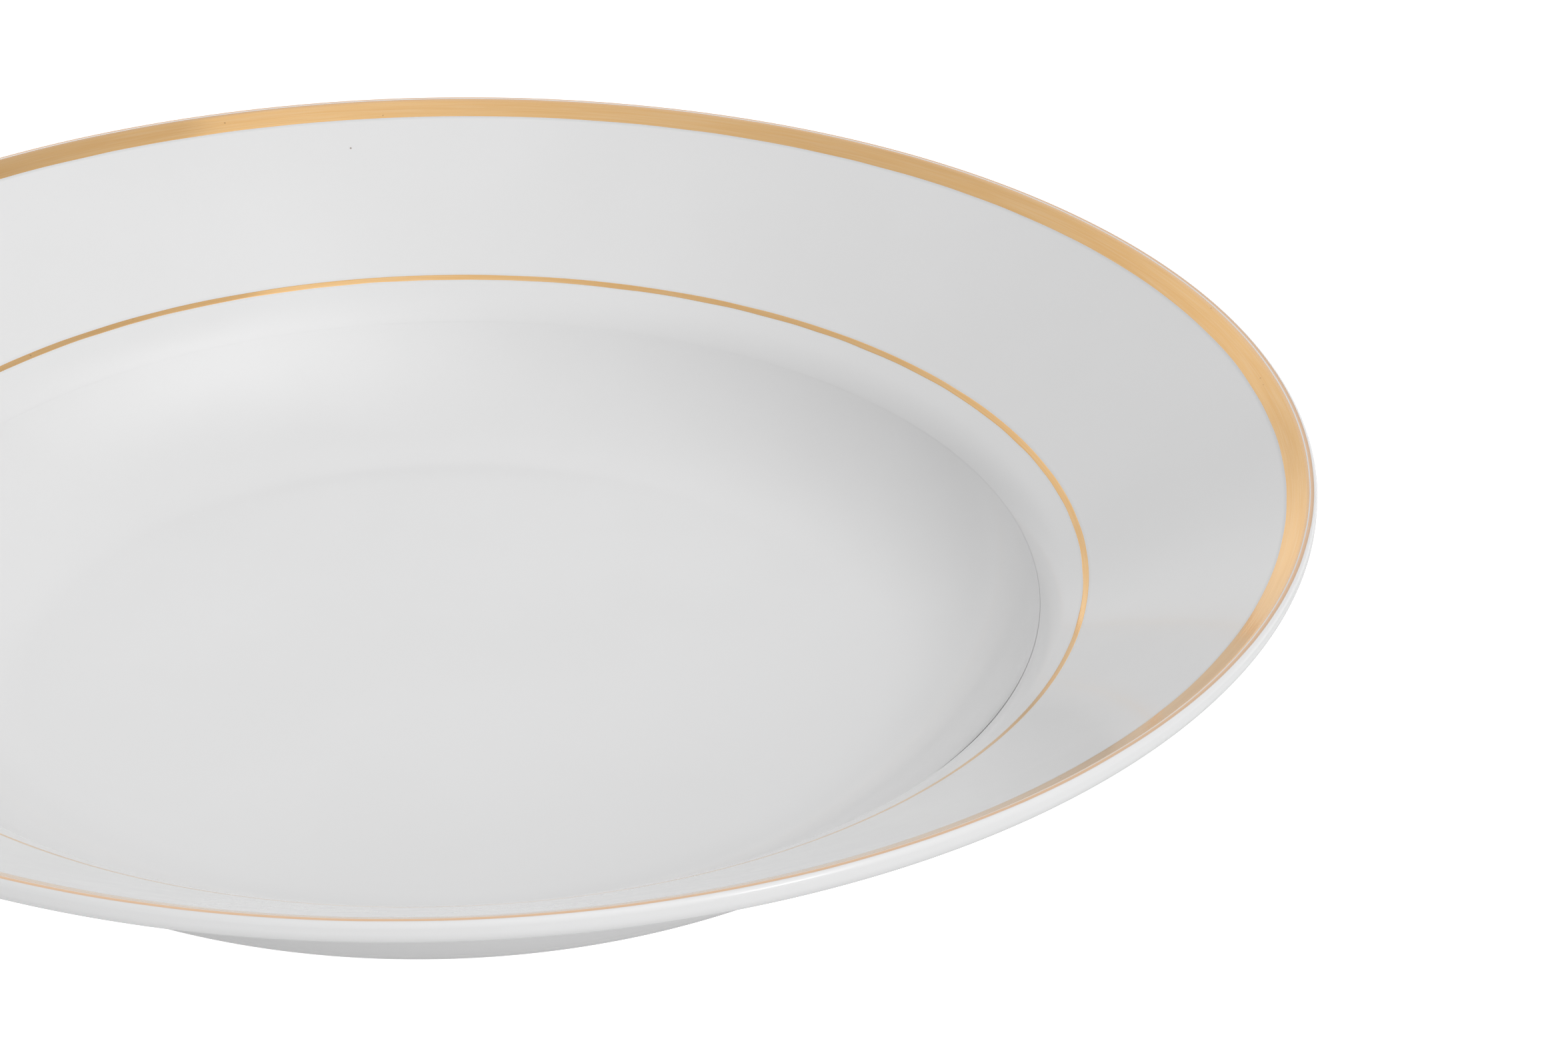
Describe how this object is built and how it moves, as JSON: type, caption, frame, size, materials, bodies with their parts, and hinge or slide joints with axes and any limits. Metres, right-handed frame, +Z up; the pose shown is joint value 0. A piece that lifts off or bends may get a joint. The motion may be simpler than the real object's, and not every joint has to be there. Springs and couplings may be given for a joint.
{
  "type": "round serving platter",
  "caption": "Round deep serving platter in white glazed porcelain, with a sloping rim, steep-walled well, gilded lip, fine gold line and foot ring.",
  "frame": {"origin": "centre of the foot ring's standing face", "axes": "+Z up along the axis of the dish; the dish is round, so +X and +Y are any two directions across it"},
  "size_m": [0.3, 0.3, 0.0535],
  "materials": {
    "porcelain": "fired bare porcelain, matt, seen only on the wiped foot",
    "glaze": "clear glossy glaze over white porcelain",
    "gold": "burnished gold, fine streaks along the ring"
  },
  "bodies": {
    "root": {"porcelain_body": "porcelain", "glaze_coat": "glaze", "recess_glaze": "glaze", "rim_gold_band": "gold", "well_gold_line": "gold"}
  },
  "joints": []
}
